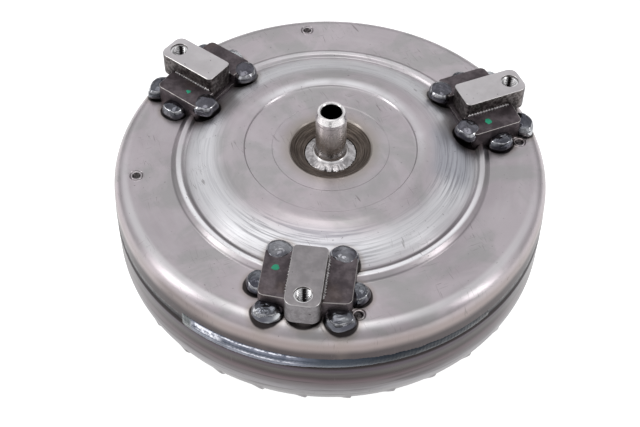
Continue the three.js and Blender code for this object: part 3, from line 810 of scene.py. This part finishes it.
# ---- Front cover
COVER = [
    (16, 4.9), (24, 9, 0.5), (25.4, 10.05, 0.8), (34.9, 10.15, 0.3), (35.5, 10.55, 0.3),
    (51.4, 10.6, 0.3), (52.2, 11.65, 0.5), (58, 11.75, 14), (66, 10.1, 40), (78, 6.2, 40),
    (86.5, 1.9, 6), (88.3, 0.8, 1.2), (90.2, 2.5, 1.5), (92.8, 2.9, 1.8), (95.4, 0.8, 0.8),
    (96.6, 0, 0.8), (130.6, 0, 9.5), (131.8, -22.4, 0.4), (128.1, -22.4), (128.1, -5, 6),
    (97, -5), (87, -3.6), (77, 1.6), (62, 5.8), (34, 5.6), (31, 4), (16, 4),
]


def dimple_mesh(angle):
    """A coined ring round a blind pit with a raised pip."""
    outline = [
        (0, -0.9), (0.6, -0.95, 0.2), (1, -1.35, 0.3), (1.7, -1.4, 0.3), (2.35, -0.5, 0.3),
        (2.6, 0.02, 0.2), (3.2, 0.22, 0.2), (3.75, -0.5, 0.15), (4.3, 0.12, 0.15), (DIMPLE_RIM, 0),
        (DIMPLE_RIM, -1.6), (0, -1.6),
    ]
    mesh = turned_mesh("coined_dimple", rounded(outline), 48)
    mesh.transform(Matrix.Translation((DIMPLE_R * math.cos(angle) * MM, DIMPLE_R * math.sin(angle) * MM, 0)))
    return mesh


def add_cover(steel):
    shell = turned_mesh("cover_shell", rounded(COVER), 288, longest=4.0)
    holes = [rod(DIMPLE_RIM, -1.7, 2, DIMPLE_R * math.cos(a), DIMPLE_R * math.sin(a)) for a in DIMPLES]
    piece("cover_shell", carve(shell, holes), steel, replaced=["front_cover"],
          crease=28)
    coined = coined_steel(steel)
    for i, angle in enumerate(DIMPLES):
        piece(f"coined_dimple_{i + 1}", dimple_mesh(angle), coined)


# ---- Pilot
PILOT = [
    (0, -1), (30, -1, 0.4), (30, 3.5, 0.4), (15.6, 3.6), (16.1, 4.4, 0.3), (15.2, 5.3, 0.5),
    (11.2, 6.6, 0.8), (9.7, 7.6, 0.8), (9.2, 9.6, 1), (9.2, 33.6, 0.3), (9.45, 34.2, 0.3),
    (9.45, 36.4, 0.25), (8.1, 40.3, 0.3), (6.9, 40.5, 0.3), (6.2, 39.8, 0.2), (6.2, 5), (0, 4),
]

NOTCHES = (265.0, 281.0)  # degrees round the axis


def staked(r, z, angle):
    """The collar's rim is dented unevenly, most at the front, where it has two notches."""
    if not (12.6 < r < 16.5 and 3.9 < z < 8):
        return r, z
    spot = Vector((math.cos(angle) * 14, math.sin(angle) * 14, r * 1.4))
    share = min(1.0, (r - 12.6) / 2.0)
    front = 0.2 + 0.8 * max(0.0, -math.sin(angle - 0.3))
    lift = noise.noise(spot) * 0.45 * share * front
    degrees = math.degrees(angle) % 360
    notch = max(math.exp(-((degrees - centre) / 4.0) ** 2) for centre in NOTCHES)
    aside = noise.noise(spot + Vector((7, 0, 0))) * 0.4 * share * front
    return r + aside - 0.9 * notch * share, z + lift - notch * share


def add_pilot():
    bright = turned_steel("pilot_steel", (0.8, 0.775, 0.77), 0.2, bore=0.0062, collar=True)
    mesh = turned_mesh("pilot_tube", rounded(PILOT), 256, staked, longest=1.5)
    piece("pilot_tube", mesh, bright, replaced=["pilot"], crease=24)
    ring = [(15.9, 5.3), (17.0, 5.9, 0.6), (20.5, 7.3, 2), (23.6, 9.2, 0.6), (24.4, 9.35, 0.3), (23.6, 8.6),
            (16.0, 4.8)]
    mesh = turned_mesh("pilot_weld_ring", rounded(ring), 192, weld_ripple, longest=0.35)
    piece("pilot_weld_ring", mesh, burnt_ring(), replaced=["pilot_weld"], crease=60)


def weld_ripple(r, z, angle):
    wave = 0.11 * math.sin(r * 5.2 + 0.8 * math.sin(angle * 2))
    return r, z + (wave if z > 5.2 else 0.0)


# ---- Drive lugs
BAR = {"inner": 86.0, "outer": 127.6, "half": 9.9, "top": 21.7, "inner_corner": 2.8, "outer_corner": 5.2}
HOLE = {"at": 119.8, "major": 5.0, "minor": 4.25, "pitch": 1.5}
WING = {"inner": 84.0, "outer": 117.0, "edge": 26.0, "top": 12.5}
WING_GAP = 0.15  # between the bar's flank and a wing
SEAM = {"start": 87.0, "length": 28.0, "ripple": 1.9, "r": 1.1}
DAB = {"at": 96.6, "aside": 18.4}


def thread_mesh():
    """A sleeve whose bore is a helical thread."""
    low, high = LUG_BOTTOM + 0.3, BAR["top"] - 0.9
    turns, steps = 48, 90
    angles = [math.tau * i / turns for i in range(turns)]
    vertices = []
    for j in range(steps + 1):
        z = low + (high - low) * j / steps
        for i, angle in enumerate(angles):
            phase = (z / HOLE["pitch"] - i / turns) % 1
            depth = min(1.0, max(0.0, 2.4 * abs(phase - 0.5) * 1.2 - 0.1))
            r = HOLE["major"] - (HOLE["major"] - HOLE["minor"]) * depth
            vertices.append(point(r, angle, z, HOLE["at"]))
    faces = tube_sides(0, steps, turns)
    outer = len(vertices)
    for z in (low, high):
        vertices += [point(HOLE["major"] + 0.25, angle, z, HOLE["at"]) for angle in angles]
    for i in range(turns):
        k = (i + 1) % turns
        faces.append((outer + i, outer + turns + i, outer + turns + k, outer + k))
        faces.append((i, outer + i, outer + k, k))
        faces.append((steps * turns + i, steps * turns + k, outer + turns + k, outer + turns + i))
    return mesh_from("lug_thread", vertices, faces)


def bar_mesh():
    inner, outer, half = BAR["inner"], BAR["outer"], BAR["half"]
    near, far = BAR["inner_corner"], BAR["outer_corner"]
    corners = [(inner, -half, near), (outer, -half, far), (outer, half, far), (inner, half, near)]
    solid = block("lug_bar", [tuple(p) for p in rounded(corners)], LUG_BOTTOM, BAR["top"], 0.75)
    bore = rod(HOLE["major"] + 0.27, LUG_BOTTOM - 1, BAR["top"] + 1, HOLE["at"])
    mouth = rod(HOLE["minor"] - 0.2, BAR["top"] - 1.5, BAR["top"] + 0.3, HOLE["at"], top=5.75)
    return carve(solid, [bore, mouth])


def wing_mesh(side):
    inner, outer = WING["inner"], WING["outer"]
    near, far = BAR["half"] + WING_GAP, WING["edge"]
    corners = [(inner, near), (outer, near), (outer - 1.2, far, 3.4), (inner, far, 2.0)]
    outline = [(u, side * v) for u, v in (tuple(p) for p in rounded(corners))]
    if side < 0:
        outline.reverse()
    return block("wing", outline, -1.0, WING["top"], 0.6, spread=0.8)


def foot_mesh():
    """The saddle's floor under the bar."""
    outline = oblong(WING["inner"], WING["outer"], BAR["half"] + WING_GAP)
    return block("foot", outline, -1.0, LUG_BOTTOM - 0.2, 0.1)


def nugget_mesh(place, size, seed):
    """A weld nugget: flat crown, slightly raised rim, uneven outline, and a foot as wide as itself."""
    b = bmesh.new()
    bmesh.ops.create_icosphere(b, subdivisions=5, radius=1.0)
    for vertex in b.verts:
        p = vertex.co.copy()
        out = math.hypot(p.x, p.y)
        flat = Vector((p.x, p.y, 0))
        swell = 1 + 0.16 * noise.noise(flat * 1.1 + Vector((seed, 0, 0)))
        if p.z > 0:
            lump = 0.1 * noise.noise(flat * 1.7 + Vector((0, seed, 0))) + 0.03 * noise.noise(flat * 6)
            rim = 0.05 * math.exp(-((out - 0.8) / 0.07) ** 2)
            inside = max(0.0, 1 - out)
            z = size[2] * (max(0.0, 1 - out ** 3.2) ** 0.62 + (lump + rim) * min(1.0, 4 * inside))
        else:
            z = -2.6 * (-p.z) ** 0.5
            swell /= max(out, 0.2) ** 0.8
        vertex.co = (Vector(place) + Vector((p.x * size[0] * swell, p.y * size[1] * swell, z))) * MM
        vertex.co.z += FACE
    return mesh_of(b, "nugget")


def nuggets_mesh(lug):
    meshes = []
    for side in (-1, 1):
        for k, ((u, v, z), size) in enumerate(NUGGETS):
            seed = 11.0 * lug + 3.7 * k + 1.9 * side
            along, aside, lift = (noise.noise(Vector((seed, 2.3 + 3.1 * i, 5.7))) for i in range(3))
            place = (u + 1.2 * along, side * (v + 1.2 * aside), z + 0.4 * lift)
            meshes.append(nugget_mesh(place, size, seed))
    return join(meshes, "lug_nuggets")


def seam_mesh(lug):
    """The rippled bead between bar and wings."""
    vertices, faces = [], []
    around, steps = 10, 150
    for side in (-1, 1):
        first = len(vertices)
        for j in range(steps + 1):
            u = SEAM["start"] + SEAM["length"] * j / steps
            wobble = noise.noise(Vector((u * 0.9, side * 3.0, lug * 5.0)))
            r = SEAM["r"] + 0.42 * math.sin(u * math.tau / SEAM["ripple"]) + 0.4 * wobble
            r *= min(1.0, 0.15 + min(j, steps - j) / 8)
            for i in range(around):
                angle = math.tau * i / around
                vertices.append((u * MM, side * (BAR["half"] + 0.2 + r * math.cos(angle)) * MM,
                                 FACE + (WING["top"] + 0.1 + r * math.sin(angle)) * MM))
        faces += tube_sides(first, steps, around) + tube_ends(first, steps, around)
    return mesh_from("lug_seam", vertices, faces)


def paint_mesh(side, lug):
    """A dab of paint on one wing, smaller on the third lug."""
    count, size = 28, 1.4 if lug == 3 else 2.1
    rim = []
    for i in range(count):
        angle = math.tau * i / count
        wobble = noise.noise(Vector((math.cos(angle) * 1.3, math.sin(angle) * 1.3, lug * 3.0)))
        r = size + 0.7 * wobble
        rim.append((DAB["at"] + r * math.cos(angle), side * DAB["aside"] + r * math.sin(angle)))
    return block("paint", rim, WING["top"] - 0.1, WING["top"] + 0.12, 0.08, steps=2)


def add_lugs():
    bar, scale, nugget, green = lug_steel(), scaled_steel(), nugget_steel(), green_paint()
    thread, seam = thread_steel(), plain("seam_steel", (0.46, 0.44, 0.44), 0.2, grain=900.0)
    for lug, angle in zip(LUGS, LUG_ANGLES):
        turn = Matrix.Rotation(angle, 4, "Z")
        painted_side = 1 if lug == 3 else -1
        meshes = [
            (f"lug_bar_{lug}", bar_mesh(), bar, [f"drive_lug_{lug}"], "machined_steel"),
            (f"lug_thread_{lug}", thread_mesh(), thread, [], "machined_steel"),
            (f"saddle_plate_{lug}", join([wing_mesh(-1), wing_mesh(1), foot_mesh()], "saddle"), scale,
             [f"lug_saddle_{lug}"], "scaled_steel"),
            (f"weld_nuggets_{lug}", nuggets_mesh(lug), nugget, [], "weld_bead"),
            (f"seam_bead_{lug}", seam_mesh(lug), seam, [], "weld_bead"),
            (f"paint_dab_{lug}", paint_mesh(painted_side, lug), green, [], None),
        ]
        for name, mesh, material, nodes, slot in meshes:
            mesh.transform(turn)
            piece(name, mesh, material, replaced=nodes)


# ---- Lower half
def impeller_outline():
    centre, across, down = Vector((90.0, -50.0)), 41.9, 36.0
    curve = []
    for k in range(57):
        t = math.radians(-2.5 * k)
        curve.append((centre.x + across * math.cos(t), centre.y + down * math.sin(t)))
    inside = [(centre.x + (x - centre.x) * 0.93, centre.y + (z - centre.y) * 0.92) for x, z in curve[::-4]]
    head = rounded([(127.6, -18), (127.6, -26.8), (130.6, -27.4, 0.5), (131.9, -30.5, 2), (131.9, -49)])
    return [*(tuple(p) for p in head), *curve, (52, -71), (36.5, -70), (36.5, -67), (53, -68.2), *inside,
            (128.9, -31), (124.6, -26.5), (124.6, -18)]


# The bump over each blade tab: its gentle flank, its step, its middle height and how proud it is.
TAB = {"flank": 7.0, "step": 0.9, "step_at": 2.4, "z": -66, "half": 4.6, "height": 0.95}


def tab_bumps(r, z, angle):
    """Each blade tab raises a short ramp in the shell: gentle on one side, a step on the other."""
    if r < 121 or z > -56 or z < -76 or r + (z + 50) * 0.2 < 118:
        return r, z
    pitch = math.tau / BLADES
    offset = ((angle + math.pi / 2 + pitch / 2) % pitch - pitch / 2) * r - TAB["step_at"]
    ramp = offset / TAB["flank"] + 1 if offset < 0 else 1 - offset / TAB["step"]
    ramp = max(0.0, min(1.0, ramp))
    across = max(0.0, 1 - ((z - TAB["z"]) / TAB["half"]) ** 2)
    height = TAB["height"] * ramp * ramp * (3 - 2 * ramp) * min(1.0, across * 1.6)
    return r + height * 0.87, z - height * 0.5


def add_impeller():
    mesh = turned_mesh("impeller_skin", impeller_outline(), 29 * BLADES, tab_bumps, longest=7.0)
    piece("impeller_skin", mesh, shell_steel(), replaced=["impeller_shell"],
          crease=40)


# The circumferential weld: where it starts, where its thick pass and its flat band end, in degrees.
WELD_START, THICK_END, BAND_END = -122.7, -87.8, -39.0
WELD_BACK = 128.4


def blend(share, a, b):
    return a + (b - a) * max(0.0, min(1.0, share))


def bead_profile(degrees):
    """The circumferential bead at an angle: top and bottom height, how proud it is, ripple."""
    if WELD_START <= degrees < THICK_END:
        end = (THICK_END - degrees) / 8
        rise = min(1.0, degrees - WELD_START)
        return blend(end, -20.2, -19.4), blend(end, -29.3, -30.8), blend(end, 0.7, 1.15) * rise, 0.11
    if THICK_END <= degrees < BAND_END:
        share = (degrees - THICK_END) / (BAND_END - THICK_END)
        return blend(share, -20.2, -21.2), blend(share, -29.3, -28.2), blend(share, 0.7, 0.3), 0.05
    return -21.3, -27.6, -0.35, 0.02


def bead_point(s, angle):
    """A point of the bead's skin. s runs from 0 at the top edge to 1 at the bottom edge."""
    degrees = (math.degrees(angle) + 180) % 360 - 180
    top, bottom, proud, ripple = bead_profile(degrees)
    arc = angle * SHELL_R
    crown = math.sin(math.pi * s) ** 0.6
    height = proud * crown
    if proud > 0.75:
        height += 0.22 * crown * math.cos(4 * math.pi * s) - 0.35 * math.exp(-((s - 0.5) / 0.07) ** 2)
    height += ripple * crown * math.sin(math.tau * arc / 2.3 + 14 * (s - 0.5) ** 2)
    height += 1.6 * ripple * noise.noise(Vector((arc * 0.22, s * 3, 1.0)))
    return 131.5 + height, blend(s, top, bottom)


def add_rim_weld():
    steps, rows = 1440, 22
    loops = []
    for i in range(steps):
        skin = [bead_point(j / (rows - 1), math.tau * i / steps) for j in range(rows)]
        loops.append([*skin, (WELD_BACK, skin[-1][1]), (WELD_BACK, skin[0][1])])
    piece("rim_bead", revolved("rim_bead", loops), bead_steel(), replaced=["rim_weld"],
          crease=50)


HUB = [
    (19, -112), (19.9, -113, 0.3), (22.6, -113, 0.5), (24, -111.6, 0.5), (24, -76, 1.2),
    (25.8, -71.8, 1.5), (29, -70.5, 1), (36, -70.5), (36, -66), (19, -66),
]


def add_pump_hub():
    tube = turned_mesh("hub_tube", rounded(HUB), 192)
    slots = [block("slot", oblong(*ends, 4), -114, -104, 0.5) for ends in ((16, 27), (-27, -16))]
    piece("hub_tube", carve(tube, slots), turned_steel("hub_steel", MACHINED, 0.18),
          replaced=["pump_hub"])
    ring = [(27.5, -71.0), (40.5, -71.0), (39.2, -72.4, 1.5), (34.5, -73.8, 3), (29.0, -73.4, 1.5)]
    mesh = turned_mesh("hub_weld_bead", rounded(ring), 360, hub_ripple, longest=0.8)
    piece("hub_weld_bead", mesh, nugget_steel(), replaced=["pump_hub_weld"],
          crease=60)


def hub_ripple(r, z, angle):
    if z > -71.1:
        return r, z
    wave = 0.16 * math.sin(angle * 74 + 0.09 * (r - 34) ** 2)
    return r, z + wave


# ---- Damper springs
# The springs' circle, their wire's and coils' radii, and each one's share of the circle in degrees.
SPRING = {"r": 106.0, "z": -19.3, "coil": 4.6, "wire": 1.25, "arc": 27.3, "turns": 5, "count": 6}


def spring_mesh(middle):
    """A coil spring of round wire, bent along the damper's circle round an angle in degrees."""
    steps, around = 180, 10
    centres, outward = [], []
    for j in range(steps + 1):
        angle = math.radians(middle + (j / steps - 0.5) * SPRING["arc"])
        phase = math.tau * SPRING["turns"] * j / steps
        out = Vector((math.cos(angle), math.sin(angle), 0))
        spoke = out * math.cos(phase) + Vector((0, 0, math.sin(phase)))
        centres.append(out * SPRING["r"] + Vector((0, 0, SPRING["z"])) + spoke * SPRING["coil"])
        outward.append(spoke)
    vertices = []
    for j, (centre, spoke) in enumerate(zip(centres, outward)):
        along = (centres[min(j + 1, steps)] - centres[max(j - 1, 0)]).normalized()
        aside = along.cross(spoke).normalized()
        for i in range(around):
            angle = math.tau * i / around
            skin = centre + (spoke * math.cos(angle) + aside * math.sin(angle)) * SPRING["wire"]
            vertices.append((skin.x * MM, skin.y * MM, FACE + skin.z * MM))
    faces = tube_sides(0, steps, around) + tube_ends(0, steps, around)
    return mesh_from("damper_coil", vertices, faces)


def add_damper_springs():
    """The damper's coil springs, each with a mesh of its own, carried by the damper."""
    steel = plain("coil_steel", SPRING_STEEL, 0.28)
    pitch = 360 / SPRING["count"]
    for i in range(1, SPRING["count"] + 1):
        middle = i * pitch
        coil = piece(f"damper_coil_{i}", spring_mesh(middle), steel, "damper",
                     replaced=[f"damper_spring_{i}"])
        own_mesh(coil)


# ---- Pieces kept from the frame
def dress_kept_nodes():
    finishes = {
        "stamped_steel": plain("stamped_steel", (0.46, 0.45, 0.44), 0.34),
        "machined_steel": plain("machined_steel", MACHINED, 0.22),
        "bearing_steel": plain("bearing_steel", (0.7, 0.69, 0.68), 0.16),
        "cast_aluminium": plain("cast_aluminium", (0.66, 0.67, 0.68), 0.45, grain=350.0),
        "spring_steel": plain("spring_steel", SPRING_STEEL, 0.28),
        "friction_paper": plain("friction_paper", (0.22, 0.15, 0.09), 0.85, 0.0),
        "seal_polymer": plain("seal_polymer", (0.03, 0.03, 0.03), 0.6, 0.0),
    }
    slots = {entry["node"]: entry["material_slot"] for entry in frame["record"]["subparts"]}
    for name, node in frame["nodes"].items():
        if not node.hide_render:
            for slot in node.material_slots:
                slot.material = finishes[slots[name]]


# ---- Floor
def add_floor():
    material, g = paint("floor_paper")
    tone = g.mix(g.noise(3), (0.5, 0.5, 0.5), (0.53, 0.53, 0.53))
    shader = g.finish(tone, 0.7, 0.0)
    shader.inputs["Emission Color"].default_value = (1, 1, 1, 1)
    shader.inputs["Emission Strength"].default_value = 0.86
    mesh = bpy.data.meshes.new("floor")
    mesh.from_pydata([(-4, -4, 0), (4, -4, 0), (4, 4, 0), (-4, 4, 0)], [], [(0, 1, 2, 3)])
    mesh.materials.append(material)
    floor = bpy.data.objects.new("floor", mesh)
    link(floor)


add_camera()
add_studio()
add_floor()
add_cover(cover_steel())
add_pilot()
add_lugs()
add_rim_weld()
add_impeller()
add_pump_hub()
add_damper_springs()
dress_kept_nodes()
